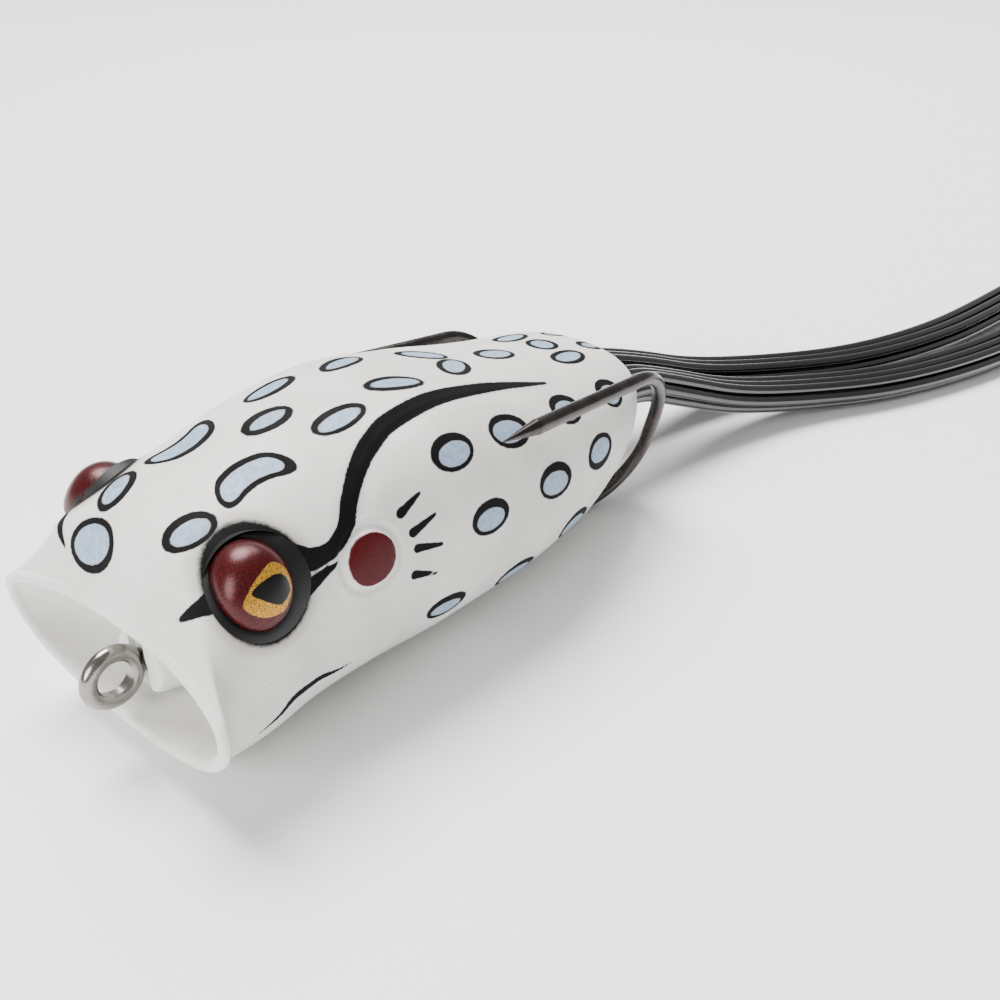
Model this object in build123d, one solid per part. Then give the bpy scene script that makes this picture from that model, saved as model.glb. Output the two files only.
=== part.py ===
from build123d import *
import math
import os

# Hollow-body popping frog lure. Millimetres, +Z up, nose towards -X, tail towards +X, the frog's
# left side towards -Y. The floor that the belly rests on is Z = 0, and the origin is below the
# middle of the lure's length without its skirt.

# ---- driving dimensions ----
BODY_LENGTH = 60.0
TIE_WIRE = 1.35
TIE_RING_RADIUS = 2.0          # to the middle of the wire
TIE_LEAD = 0.1                 # middle of the ring, in front of the rim
TIE_REACH = TIE_LEAD + TIE_RING_RADIUS + TIE_WIRE / 2
LIP_X = (TIE_REACH - BODY_LENGTH) / 2   # plane of the mouth's rim
WALL = 1.3                     # soft body's wall
RIM_WALL = 1.1                 # thinner where the cup flares out to the rim

CUP_DEPTH = 8.5
BOSS_FACE = 2.2                # boss face, behind the rim
BOSS_FRONT_RADIUS = 2.6
BOSS_REAR_RADIUS = 4.2

PIVOT = Vector(LIP_X + 6.0, 0, 7.5)    # middle of the nose hole, where the hook assembly swings
SWING_FLARE = 6.0              # half angle of the nose hole's two flares, degrees
FLARE_REACH = 6.0
STEM_GAP = 0.05                # all round the stem at the pivot

TIE_BORE = 1.45                # coined flat inside the ring
TIE_X = LIP_X - TIE_LEAD

HOOK_WIRE = 1.4
HOOK_BEND_RADIUS = 7.6
HOOK_TIP_LENGTH = 4.5
HOOK_TIP_RADIUS = 0.06

KEEL_X = (LIP_X + 28.4, LIP_X + 43.6)
KEEL_WIDTH = 7.6
KEEL_HEIGHT = 4.6
KEEL_LIFT = 0.3                # keel's underside above the floor
SLOT_GAP = 0.4                 # around the keel and beside each shank

# Each shank's start in the keel and the rear corner of its bend, then the upper corner and the
# start of its point. They are given on the frog's right. The left point rides higher, because
# the assembly sits rolled a little in the soft body.
HOOK_FEET = (
    (KEEL_X[0] + 7.5, 2.1, 2.6),
    (LIP_X + 57.8, 7.2, -0.2),
)
RIGHT_ARM = (
    (LIP_X + 57.4, 12.6, 14.2),
    (LIP_X + 34.2, 14.0, 16.8),
)
LEFT_ARM = (
    (LIP_X + 57.4, 11.9, 16.6),
    (LIP_X + 34.2, 12.9, 19.2),
)

EYE_RADIUS = 3.9
EYE_DOME = 1.7                 # how far the dome stands out of its rim
EYE_PLUG = 1.6                 # depth of the plug in the socket
EYE_CENTRE = Vector(LIP_X + 7.2, 10.0, 16.4)
EYE_TILT = 22.0                # the eye looks up by this much, degrees
EYE_TURN = 12.0                # and forwards by this much, degrees

EAR_CENTRE = Vector(LIP_X + 16.0, 11.8, 14.9)
EAR_TILT = 14.0
EAR_RADIUS = 2.1
EAR_HEIGHT = 1.6
EAR_STANDS_OUT = 0.6

LEG_SPACING = 6.8              # between the two leg sockets
LEG_Z = 10.5
LEG_PIVOT_X = LIP_X + 57.4     # middle of the collars, where the legs splay
COLLAR_RADIUS = 2.85
COLLAR_LENGTH = 3.2
SOCKET_RADIUS = 3.3
STRAND_DIAMETER = 1.25
STRAND_PITCH = 1.34
STRAND_ROWS = (3, 4, 3)        # strands side by side, from the top row down

# ---- body sections ----
# Each row: distance behind the rim, half width, height of the widest point, top, underside.
SECTIONS = (
    (0.0, 14.3, 9.6, 12.4, 2.4),
    (2.1, 12.0, 8.6, 18.2, 0.3),
    (6.0, 12.1, 8.9, 20.3, 0.0),
    (11.0, 11.7, 9.5, 21.4, 0.0),
    (17.0, 12.2, 10.2, 22.5, 0.0),
    (25.0, 13.4, 10.4, 23.1, 0.0),
    (34.0, 13.6, 10.0, 21.5, 0.0),
    (43.0, 12.9, 9.9, 19.2, 0.4),
    (49.0, 11.7, 10.4, 17.9, 1.6),
    (54.0, 10.0, 11.0, 17.2, 3.5),
    (57.5, 7.9, 11.4, 16.2, 5.6),
    (59.3, 5.4, 11.6, 14.7, 8.0),
    (60.0, 3.0, 11.7, 13.2, 10.2),
)
SIDE_POWER = 2.4               # superellipse powers of the half sections
TOP_POWER = 2.6
BELLY_POWER = 2.0
SECTION_POINTS = 24


def section_wire(row, inset=0.0):
    """Closed section of the body, square to the length, drawn inside the skin by inset."""
    behind, half_width, mid, top, bottom = row
    points = []
    for step in range(SECTION_POINTS):
        angle = 2 * math.pi * step / SECTION_POINTS
        across, up = math.cos(angle), math.sin(angle)
        y = (half_width - inset) * math.copysign(abs(across) ** (2 / SIDE_POWER), across)
        if up > 0:
            z = mid + (top - inset - mid) * up ** (2 / TOP_POWER)
        else:
            z = mid - (mid - bottom - inset) * (-up) ** (2 / BELLY_POWER)
        points.append((LIP_X + behind, y, z))
    return Wire([Edge.make_spline([Vector(*p) for p in points], periodic=True)])


def between(row_a, row_b, share):
    """Section part of the way from one row to the next."""
    return tuple(a + (b - a) * share for a, b in zip(row_a, row_b))


def lofted(rows, inset=0.0, ruled=False):
    return Solid.make_loft([section_wire(row, inset) for row in rows], ruled)


def mirrored(solid):
    """The frog's left copy of something built on its right."""
    return mirror(solid, about=Plane.XZ)


def cone_between(start, end, start_radius, end_radius):
    """Truncated cone from one point to another."""
    direction = Vector(*end) - Vector(*start)
    plane = Plane(origin=start, z_dir=direction)
    return Solid.make_cone(start_radius, end_radius, direction.length, plane)


# ---- soft body ----
def mouth_cup(inset, deeper=0.0):
    """Hollow of the popping cup, or the same grown outwards when inset is negative."""
    rim = SECTIONS[0]
    rows = (
        (-2.0, rim[1] + 0.6, rim[2], rim[3] + 0.2, rim[4] - 0.2),
        (0.0, rim[1], rim[2], rim[3], rim[4]),
        (3.0 + deeper / 3, rim[1] - 3.4, rim[2] - 0.9, rim[3] - 0.1, rim[4] + 0.3),
        (6.0 + deeper * 2 / 3, rim[1] - 5.2, rim[2] - 1.6, rim[3] - 0.6, rim[4] + 0.8),
        (CUP_DEPTH + deeper, rim[1] - 8.0, rim[2] - 2.1, rim[3] - 1.6, rim[4] + 2.0),
    )
    return lofted(rows, inset)


def socket_frame(centre, tilt, turn):
    """Plane on the frog's right side, looking out, up by tilt and forwards by turn."""
    tilt, turn = math.radians(tilt), math.radians(turn)
    outwards = Vector(-math.sin(turn) * math.cos(tilt), math.cos(turn) * math.cos(tilt), math.sin(tilt))
    return Plane(origin=centre, x_dir=(1, 0, 0), z_dir=outwards)


def leg_socket(side):
    """Cylinder that the leg socket cuts through the tail."""
    start = (LEG_PIVOT_X - COLLAR_LENGTH, side * LEG_SPACING / 2, LEG_Z)
    return Solid.make_cylinder(SOCKET_RADIUS, 8, Plane(start, z_dir=(1, 0, 0)))


def belly_slot():
    """Opening around the keel, and a channel over each shank where it leaves the belly."""
    length = KEEL_X[1] - KEEL_X[0] + 2 * SLOT_GAP
    middle = (KEEL_X[0] + KEEL_X[1] - SLOT_GAP) / 2
    keel_room = Box(length, KEEL_WIDTH + 2 * SLOT_GAP, KEEL_HEIGHT + 2.0)
    cut = Pos(middle, 0, KEEL_LIFT + KEEL_HEIGHT / 2) * keel_room
    start, corner = HOOK_FEET
    for way in (-1, 1):
        line = Line((start[0], way * start[1]), (corner[0], way * corner[1]))
        channel = make_face(offset(line, HOOK_WIRE / 2 + SLOT_GAP, side=Side.BOTH))
        cut += Pos(0, 0, -1.0) * extrude(channel, 4.0)
    return cut


def nose_boss():
    """Solid cone in the cup that the line tie comes out of."""
    front = (LIP_X + BOSS_FACE, 0, PIVOT.Z)
    rear = (LIP_X + CUP_DEPTH + WALL + 0.4, 0, PIVOT.Z)
    return cone_between(front, rear, BOSS_FRONT_RADIUS, BOSS_REAR_RADIUS)


def nose_hole():
    """Stem hole, narrowest at the pivot and flared both ways, and a slot that clears the ring."""
    throat = TIE_WIRE / 2 + STEM_GAP
    mouth = throat + FLARE_REACH * math.tan(math.radians(SWING_FLARE))
    ring_slot = Pos(LIP_X + BOSS_FACE, 0, PIVOT.Z) * Box(2.4, TIE_WIRE + 0.5, 2 * BOSS_REAR_RADIUS)
    cut = ring_slot
    for way in (-1, 1):
        end = (PIVOT.X + way * FLARE_REACH, 0, PIVOT.Z)
        cut += cone_between(tuple(PIVOT), end, throat, mouth)
    return cut


def eye_backing(outer):
    """Thicker wall behind one eye, trimmed to the skin."""
    frame = socket_frame(EYE_CENTRE, EYE_TILT, EYE_TURN)
    block = Solid.make_cylinder(EYE_RADIUS + 1.0, EYE_PLUG + 1.0, frame.offset(-EYE_PLUG - 1.0))
    return block & outer


def eye_socket():
    frame = socket_frame(EYE_CENTRE, EYE_TILT, EYE_TURN)
    return Solid.make_cylinder(EYE_RADIUS, 6.0, frame.offset(-EYE_PLUG))


def ear_disc():
    """Raised round ear behind the eye."""
    frame = socket_frame(EAR_CENTRE, EAR_TILT, 0.0)
    return Solid.make_cylinder(EAR_RADIUS, EAR_HEIGHT, frame.offset(EAR_STANDS_OUT - EAR_HEIGHT))


def body_shell():
    outer = lofted(SECTIONS[:2], ruled=True) + lofted(SECTIONS[1:])
    cavity_start = between(SECTIONS[1], SECTIONS[2], 0.25)
    cavity = lofted((cavity_start,) + SECTIONS[2:11], WALL)
    cup_wall = mouth_cup(-0.2, deeper=WALL)
    shell = outer - (cavity - cup_wall) - mouth_cup(RIM_WALL) + nose_boss()
    backing = eye_backing(outer)
    for piece in (backing, mirrored(backing), ear_disc(), mirrored(ear_disc())):
        shell += piece
    cuts = (
        nose_hole(),
        belly_slot(),
        leg_socket(1),
        leg_socket(-1),
        eye_socket(),
        mirrored(eye_socket()),
    )
    for cut in cuts:
        shell -= cut
    return shell


# ---- eyes ----
def eye():
    """Domed insert: a plug in the socket, a low rim and a dome."""
    frame = socket_frame(EYE_CENTRE, EYE_TILT, EYE_TURN)
    plug = Solid.make_cylinder(EYE_RADIUS, EYE_PLUG, frame.offset(-EYE_PLUG))
    sphere_radius = (EYE_RADIUS ** 2 + EYE_DOME ** 2) / (2 * EYE_DOME)
    ball = Solid.make_sphere(sphere_radius, frame.offset(EYE_DOME - sphere_radius), -90, 90, 360)
    cap = ball & Solid.make_cylinder(EYE_RADIUS, EYE_DOME + 0.1, frame)
    return plug + cap


# ---- hook assembly ----
def wire_along(points, radii, wire):
    """Round wire along straight runs joined by tangent arcs."""
    path = FilletPolyline(*points, radius=radii)
    start = Plane(origin=path @ 0, z_dir=path % 0)
    return sweep(start * Circle(wire / 2), path=path)


STEM_POINTS = (
    (TIE_X + TIE_RING_RADIUS, 0, PIVOT.Z),
    (PIVOT.X + 5.0, 0, PIVOT.Z),
    (KEEL_X[0] - 1.5, 0, 3.6),
    (KEEL_X[0] + 4.5, 0, 3.3),
)


def stem():
    return wire_along(STEM_POINTS, [9.0, 6.0], TIE_WIRE)


def line_tie():
    """Eye and stem, one stainless wire, with the inside of the eye coined flat."""
    ring_plane = Plane((TIE_X, 0, PIVOT.Z), z_dir=(0, 1, 0))
    ring = Solid.make_torus(TIE_RING_RADIUS, TIE_WIRE / 2, ring_plane)
    bore = Solid.make_cylinder(TIE_BORE, 4, Plane((TIE_X, -2, PIVOT.Z), z_dir=(0, 1, 0)))
    return (ring + stem()) - bore


def hook_wire(arm):
    """Shank, bend and point arm on the frog's right side, with a ground conical point."""
    wire = wire_along(HOOK_FEET + arm, [HOOK_BEND_RADIUS, HOOK_BEND_RADIUS], HOOK_WIRE)
    corner, arm_end = (Vector(*point) for point in arm)
    tip = arm_end + (arm_end - corner).normalized() * HOOK_TIP_LENGTH
    return wire + cone_between(tuple(arm_end), tuple(tip), HOOK_WIRE / 2, HOOK_TIP_RADIUS)


def keel_weight():
    """Cast weight on the stem and both shanks, flush in the belly slot."""
    middle = Pos((KEEL_X[0] + KEEL_X[1]) / 2, 0, KEEL_LIFT + KEEL_HEIGHT / 2)
    block = middle * Box(KEEL_X[1] - KEEL_X[0], KEEL_WIDTH, KEEL_HEIGHT)
    block = fillet(block.edges().filter_by(Axis.Z), 2.2)
    block = chamfer(block.faces().sort_by(Axis.Z)[-1].edges(), 1.2)
    block = chamfer(block.faces().sort_by(Axis.Z)[0].edges(), 0.5)
    return block - stem() - hook_wire(RIGHT_ARM) - mirrored(hook_wire(LEFT_ARM))


# ---- skirt ----
# Route of the skirt's middle line, from the collars' rear faces to the tips, then how much the
# strands have spread sideways and settled in height there, compared with the collar.
SKIRT_ROUTE = (
    ((59.0, 0.0, 10.5), 1.0, 1.0),
    ((62.8, 0.0, 10.5), 1.0, 1.0),
    ((70.5, -2.0, 7.9), 1.0, 1.0),
    ((79.0, -4.8, 4.6), 1.02, 0.98),
    ((89.5, -9.2, 2.6), 1.04, 0.96),
    ((100.0, -15.6, 2.0), 1.08, 0.94),
    ((113.0, -20.7, 1.9), 1.12, 0.91),
    ((128.0, -24.0, 1.85), 1.18, 0.89),
    ((149.0, -26.2, 1.8), 1.26, 0.87),
)
TIP_SHARES = (1.0, 0.86, 1.08, 0.93, 1.12, 0.9, 1.04, 0.82, 0.97, 1.1)


def strand_seats(side):
    """Places of one leg's strands in its collar, as (sideways from the tail's middle, up)."""
    seats = []
    for row, count in enumerate(STRAND_ROWS):
        up = (1 - row) * STRAND_PITCH * math.sqrt(3) / 2
        for place in range(count):
            across = (place - (count - 1) / 2) * STRAND_PITCH
            seats.append((side * LEG_SPACING / 2 + across, up))
    return seats


def strand_points(seat, tip_share):
    """The skirt's route shifted to one strand's seat, with the strand's own length."""
    middle = [Vector(LIP_X + point[0], point[1], point[2]) for point, _, _ in SKIRT_ROUTE]
    across, up = seat
    points = []
    for index, (_, spread, settle) in enumerate(SKIRT_ROUTE):
        before = middle[max(index - 1, 0)]
        after = middle[min(index + 1, len(middle) - 1)]
        along = Vector(1, 0, 0) if index < 2 else (after - before).normalized()
        sideways = Vector(0, 0, 1).cross(along).normalized()
        upwards = along.cross(sideways)
        points.append(middle[index] + sideways * (across * spread) + upwards * (up * settle))
    points[-1] = points[-2] + (points[-1] - points[-2]) * tip_share
    return points


def corner_radii(points):
    """Radius of the arc at each corner: 0.45 of the shorter run over the tangent of half the turn."""
    radii = []
    for before, corner, after in zip(points, points[1:], points[2:]):
        first, second = corner - before, after - corner
        half_turn = math.radians(first.get_angle(second)) / 2
        radii.append(0.45 * min(first.length, second.length) / math.tan(half_turn))
    return radii


def strand(seat, tip_share):
    points = strand_points(seat, tip_share)
    radii = corner_radii(points)
    path = FilletPolyline(*points, radius=radii)
    tube = sweep(Plane(origin=path @ 0, z_dir=path % 0) * Circle(STRAND_DIAMETER / 2), path=path)
    section = math.pi * STRAND_DIAMETER ** 2 / 4
    fullness = tube.volume / (section * path.length)
    print(f"  length {path.length:.1f}  volume/(section x length) {fullness:.4f}  radii {min(radii):.1f} up")
    return tube


def collar(side):
    """Rubber barrel that holds one leg's strands in its socket."""
    start = (LEG_PIVOT_X - COLLAR_LENGTH / 2, side * LEG_SPACING / 2, LEG_Z)
    barrel = Solid.make_cylinder(COLLAR_RADIUS, COLLAR_LENGTH, Plane(start, z_dir=(1, 0, 0)))
    return fillet(barrel.edges().filter_by(GeomType.CIRCLE), 0.2)


nodes = {
    "body_shell": body_shell(),
    "eye_right": eye(),
    "eye_left": mirrored(eye()),
    "line_tie": line_tie(),
    "hook_right": hook_wire(RIGHT_ARM),
    "hook_left": mirrored(hook_wire(LEFT_ARM)),
    "keel_weight": keel_weight(),
    "leg_collar_right": collar(1),
    "leg_collar_left": collar(-1),
}
for side_name, side in (("right", 1), ("left", -1)):
    for number, (seat, tip_share) in enumerate(zip(strand_seats(side), TIP_SHARES), 1):
        name = f"strand_{side_name}_{number:02d}"
        print(name)
        nodes[name] = strand(seat, tip_share)

os.makedirs("parts", exist_ok=True)
for name, solid in nodes.items():
    export_step(solid, f"parts/{name}.step")
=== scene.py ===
import math

import bmesh
import bpy
import numpy as np
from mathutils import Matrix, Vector
from mathutils.kdtree import KDTree


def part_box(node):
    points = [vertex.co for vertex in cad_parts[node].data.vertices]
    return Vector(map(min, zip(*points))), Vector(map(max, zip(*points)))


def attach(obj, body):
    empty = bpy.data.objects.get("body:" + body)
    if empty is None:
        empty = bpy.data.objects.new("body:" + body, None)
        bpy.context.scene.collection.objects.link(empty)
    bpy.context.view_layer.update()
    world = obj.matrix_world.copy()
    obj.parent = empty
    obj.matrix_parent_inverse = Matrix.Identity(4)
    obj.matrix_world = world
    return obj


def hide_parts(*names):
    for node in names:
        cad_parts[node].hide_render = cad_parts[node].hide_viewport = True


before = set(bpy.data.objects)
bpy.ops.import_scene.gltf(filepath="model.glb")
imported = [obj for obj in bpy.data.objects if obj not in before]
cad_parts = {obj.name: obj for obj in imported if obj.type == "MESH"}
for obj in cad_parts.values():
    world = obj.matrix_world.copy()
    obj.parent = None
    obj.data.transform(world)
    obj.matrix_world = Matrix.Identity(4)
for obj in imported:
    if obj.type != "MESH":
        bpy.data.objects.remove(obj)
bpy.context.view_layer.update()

# Hollow-body popping frog lure. Shapes are worked out in millimetres, in the CAD's frame: nose
# towards -X, the frog's left side towards -Y, floor at Z = 0. MM turns them into metres.
MM = 0.001
LIP_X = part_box("body_shell")[0][0] / MM
PIVOT = (LIP_X + 6.0, 0.0, 7.5)
KEEL_LOW = [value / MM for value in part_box("keel_weight")[0]]
KEEL_HIGH = [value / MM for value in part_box("keel_weight")[1]]

# ---- camera ----
CAMERA_PLACE = (-56.7, -61.4, 59.9)
CAMERA_LOOK = (0.6543, 0.5508, -0.5183)
CAMERA_LENS = 38.2

# ---- body skin: distance behind the rim, half width, height of the widest point, top, underside ----
SKIN_ROWS = (
    (0.0, 14.3, 9.6, 12.4, 2.4),
    (2.1, 12.0, 8.6, 18.2, 0.3),
    (6.0, 12.1, 8.9, 20.3, 0.0),
    (11.0, 11.7, 9.5, 21.4, 0.0),
    (17.0, 12.2, 10.2, 22.5, 0.0),
    (25.0, 13.4, 10.4, 23.1, 0.0),
    (34.0, 13.6, 10.0, 21.5, 0.0),
    (43.0, 12.9, 9.9, 19.2, 0.4),
    (49.0, 11.7, 10.4, 17.9, 1.6),
    (54.0, 10.0, 11.0, 17.2, 3.5),
    (57.5, 7.9, 11.4, 16.2, 5.6),
    (59.3, 5.4, 11.6, 14.7, 8.0),
    (60.0, 3.0, 11.7, 13.2, 10.2),
)
SIDE_POWER = 2.4
TOP_POWER = 2.6
BELLY_POWER = 2.0
WALL = 1.3
RIM_WALL = 1.1
RIM_ROUND = 0.5                # how far the lip's round edge stands in front of the rim
UPPER_LIP_BACK = 1.5           # the middle of each lip lies behind the mouth's corners
LOWER_LIP_BACK = 0.6
LIP_FADE = 18.0                # and this far back the skin is square again
MIDDLE_Z = 10.0
RIDGE_HEIGHT = 0.22            # above the back stroke, and the hollow below it
RIDGE_DEPTH = 0.28
AROUND = 420
ALONG = 300
CAVITY_SPAN = (0.28, 0.9)      # shares of the way along the skin
CAVITY_AROUND = 96
CAVITY_ROWS = 60

CUP_DEPTH = 8.5
CUP_STEEP = (3.6, 1.9)         # how abruptly the cup's wall turns into its floor: lips, corners
CUP_CURL = (0.5, 0.9)
BOSS_FACE = 2.2
BOSS_RADIUS = 2.8
BOSS_SLOPE = 4.0               # depth gained per millimetre outside the boss
BOSS_SLOT_HALF = 0.8
BOSS_SLOT_DEPTH = 0.4
STEM_RADIUS = 0.675
STEM_GAP = 0.06
NOSE_HOLE_REACH = (-7.0, 8.0)  # the nose hole widens towards both ends, so that the stem can swing
NOSE_HOLE_FLARE = 0.63

# ---- belly slot: room round the keel, and a channel along each shank ----
KEEL_ROOM_FRONT = 0.6
KEEL_ROOM_BACK = 0.2
KEEL_ROOM_SIDE = 0.4
KEEL_ROOM_CORNER = 1.6
KEEL_ROOM_TOP = 6.2
SHANK_START = (7.5, 2.1)       # behind the keel's front, and across
SHANK_END = (57.8, 7.2)        # behind the rim, and across
SHANK_ROOM_RADIUS = 1.1
SHANK_ROOM_TOP = 3.0
BELOW_FLOOR = -2.0

# ---- eyes, ears and legs ----
EYE_CENTRE = Vector((LIP_X + 7.2, 10.0, 16.4))
EYE_TILT = math.radians(22.0)
EYE_TURN = math.radians(12.0)
EYE_SEAT = 3.9
EYE_PLUG = 1.6
EYE_REACH = 4.0                # room cut in front of the seat, and how far back its paint goes
EYE_SHIFT = (0.5, 0.4)         # middle of the dome in its seat, forwards and up
EYE_DOME = (2.75, 3.2)         # half size of the dome, forwards and up
EYE_RISE = 1.75                # top of the dome above the middle of its seat
EYE_BULGE = 2.6                # higher makes the dome flatter on top and steeper at its foot
EYE_FIT = 0.02                 # gap between the plug and its seat
EAR_CENTRE = Vector((LIP_X + 16.0, 11.8, 14.9))
EAR_RADIUS = 2.1
EAR_RISE = 0.4
EAR_GROOVE = (0.12, 0.55, 0.22)    # depth, distance outside the ear and width
EAR_RIDGE = (0.10, 1.0, 0.25)      # height, distance outside the ear and width

LEG_Z = 10.5
LEG_SIDE = 3.4
SOCKET_RADIUS = 3.3
SOCKET_START = 54.2            # behind the rim
SOCKET_REACH = 9.0

# ---- skirt, as in the CAD ----
STRAND_DIAMETER = 1.25
STRAND_PITCH = 1.34
STRAND_ROWS = (3, 4, 3)
SKIRT_ROUTE = (
    ((59.0, 0.0, 10.5), 1.0, 1.0),
    ((62.8, 0.0, 10.5), 1.0, 1.0),
    ((70.5, -2.0, 7.9), 1.0, 1.0),
    ((79.0, -4.8, 4.6), 1.02, 0.98),
    ((89.5, -9.2, 2.6), 1.04, 0.96),
    ((100.0, -15.6, 2.0), 1.08, 0.94),
    ((113.0, -20.7, 1.9), 1.12, 0.91),
    ((128.0, -24.0, 1.85), 1.18, 0.89),
    ((149.0, -26.2, 1.8), 1.26, 0.87),
)
TIP_SHARES = (1.0, 0.86, 1.08, 0.93, 1.12, 0.9, 1.04, 0.82, 0.97, 1.1)

# ---- paint on one side of the body; x is behind the rim, and the other side is its mirror ----
# Spots, from the back down to the belly: (x, across, height), half length, half width, turn in
# degrees of the long axis from the body's length, and how far the blue lies off the middle.
SPOTS = (
    ((16.7, 0.0, 22.5), 2.2, 1.4, 0, (0.1, -0.25)),
    ((5.6, 4.5, 19.6), 1.95, 1.4, 18, (0.1, 0.2)),
    ((11.7, 4.0, 21.2), 3.1, 1.4, 4, (-0.2, 0.12)),
    ((20.4, 4.2, 22.6), 2.5, 1.25, 0, (-0.1, 0.15)),
    ((27.5, 3.2, 22.8), 2.7, 1.2, 16, (0.2, -0.05)),
    ((36.0, 2.0, 20.8), 2.4, 1.45, -35, (0.2, 0.0)),
    ((43.9, 0.0, 18.7), 2.4, 1.5, 0, (0.25, 0.0)),
    ((50.8, 3.6, 16.6), 2.2, 1.3, 0, (0.1, 0.0)),
    ((51.4, 0.0, 16.6), 1.5, 1.6, 0, (0.0, 0.1)),
    ((56.2, 2.2, 15.6), 1.6, 1.1, 0, (0.0, 0.1)),
    ((50.2, 8.9, 15.0), 1.9, 1.5, 0, (-0.1, 0.3)),
    ((42.3, 10.0, 17.0), 2.1, 1.5, 0, (-0.1, 0.3)),
    ((33.4, 10.7, 18.5), 2.3, 1.5, 10, (-0.2, 0.1)),
    ((26.3, 10.9, 19.6), 2.15, 1.45, 0, (0.1, 0.3)),
    ((44.8, 13.0, 12.5), 2.3, 1.5, 0, (0.0, -0.15)),
    ((36.8, 13.5, 13.1), 2.35, 1.5, 12, (-0.1, 0.3)),
    ((27.9, 13.6, 13.6), 2.1, 1.4, 8, (0.0, 0.3)),
    ((41.0, 12.7, 6.0), 2.3, 1.6, 10, (0.1, 0.3)),
    ((32.6, 12.2, 4.9), 2.6, 1.6, 12, (0.1, 0.3)),
    ((23.1, 12.6, 6.9), 2.05, 1.2, 5, (0.0, 0.3)),
)
LIP_SPOT = ((2.4, 3.8, 16.4), 2.8, 1.9, -62, (0.0, 0.1))    # only on the frog's right
SPOT_REACH = 6.0               # a spot paints nothing farther from its middle than this
FILL_INSET = 0.62
KIDNEY_LENGTH = 3.0            # spots with a longer half length than this are bent bars
KIDNEY_BEND = -0.13
KIDNEY_LEVEL = 3.0             # square of the distance from the middle that the bend leaves in place
INK_SPREAD = 0.16
FILL_OFFSET = 0.7              # share of the listed offset that is used
# Brush strokes: (x, across, height, half thickness) along each. The long one runs along the back.
BACK_STROKE = (
    (10.4, 10.0, 17.2, 0.9),
    (11.6, 10.4, 16.6, 0.75),
    (13.0, 10.7, 16.7, 0.62),
    (14.8, 10.4, 17.6, 0.62),
    (16.2, 9.6, 19.2, 0.62),
    (18.1, 8.5, 20.5, 0.66),
    (20.2, 7.6, 21.4, 0.7),
    (23.2, 6.9, 22.2, 0.72),
    (26.9, 6.6, 22.2, 0.7),
    (32.1, 6.2, 21.1, 0.6),
    (37.1, 6.4, 19.8, 0.42),
    (43.0, 6.9, 18.2, 0.12),
)
BACK_STROKE_SPREAD = 0.12
OFF_SKIN_SHARE = 0.8           # share of the distance straight off the skin that strokes ignore
# The short ones: behind and in front of the eye, four dashes behind the ear, and the chin's line.
STROKES = (
    (
        (8.6, 11.2, 13.6, 0.6),
        (9.9, 11.1, 14.8, 0.62),
        (11.6, 11.1, 15.3, 0.45),
        (13.5, 11.1, 15.7, 0.08),
    ),
    (
        (5.0, 9.0, 16.8, 1.2),
        (3.9, 8.7, 16.2, 0.85),
        (2.7, 8.0, 15.6, 0.45),
        (1.7, 7.0, 15.0, 0.05),
    ),
    ((19.5, 11.6, 17.2, 0.42), (21.6, 11.6, 18.1, 0.16)),
    ((20.0, 12.4, 15.5, 0.42), (22.3, 12.6, 16.2, 0.16)),
    ((20.1, 12.7, 14.1, 0.4), (22.3, 13.2, 13.6, 0.18)),
    ((19.6, 12.7, 11.9, 0.42), (21.6, 13.2, 11.2, 0.14)),
    (
        (3.6, 11.1, 5.4, 0.06),
        (6.0, 11.7, 6.2, 0.28),
        (7.5, 11.9, 7.1, 0.4),
        (9.7, 11.3, 7.0, 0.36),
        (12.8, 10.9, 6.2, 0.2),
        (14.8, 10.9, 6.1, 0.04),
    ),
)
EYE_PAINT = (3.95, 4.4)        # half size of the black around the eye, forwards and up
EYE_PAINT_SHIFT = (0.0, 0.2)
EYE_PAINT_SCALE = 4.1          # mean half size, turns the oval's measure into millimetres
UNPAINTED = 5.0                # added to every distance where nothing is painted
# Outlines on the dome, (forwards, up) from the middle of the seat.
GOLD_OUTLINE = (
    (1.7, 0.4),
    (0.5, 1.3),
    (-0.7, 1.7),
    (-1.3, 1.4),
    (-1.8, 0.4),
    (-1.7, -0.6),
    (-1.1, -1.4),
    (-0.4, -1.9),
    (0.6, -1.8),
    (1.4, -1.4),
    (2.2, -0.3),
)
PUPIL_OUTLINE = (
    (1.4, 0.3),
    (0.5, 0.8),
    (-0.5, 0.9),
    (-1.1, 0.7),
    (-1.5, 0.0),
    (-1.5, -0.6),
    (-1.0, -1.1),
    (-0.4, -1.3),
    (0.4, -0.8),
    (0.9, -0.3),
)


# ---- small helpers ----
def smooth_through(knots, values, at):
    """Smooth curve through the values that never overshoots them."""
    step = np.diff(knots)
    slope = np.diff(values) / step
    product = slope[:-1] * slope[1:]
    total = np.where(product > 0, slope[:-1] + slope[1:], 1.0)
    inner = np.where(product > 0, 2 * product / total, 0.0)
    tangent = np.concatenate(([slope[0]], inner, [slope[-1]]))
    index = np.clip(np.searchsorted(knots, at, side="right") - 1, 0, len(step) - 1)
    share = (at - knots[index]) / step[index]
    rise = share * share * (3 - 2 * share)
    value = values[index] * (1 - rise) + values[index + 1] * rise
    lead = step[index] * share * (1 - share)
    return value + lead * ((1 - share) * tangent[index] - share * tangent[index + 1])


def smooth_step(low, high, value):
    """0 at low, 1 at high and eased between; low may be the larger."""
    share = np.clip((value - low) / (high - low), 0.0, 1.0)
    return share * share * (3 - 2 * share)


def soft_larger(first, second, crisp):
    """The larger of two values, blended where they are close; less so when crisp is high."""
    return np.logaddexp(first * crisp, second * crisp) / crisp


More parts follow.
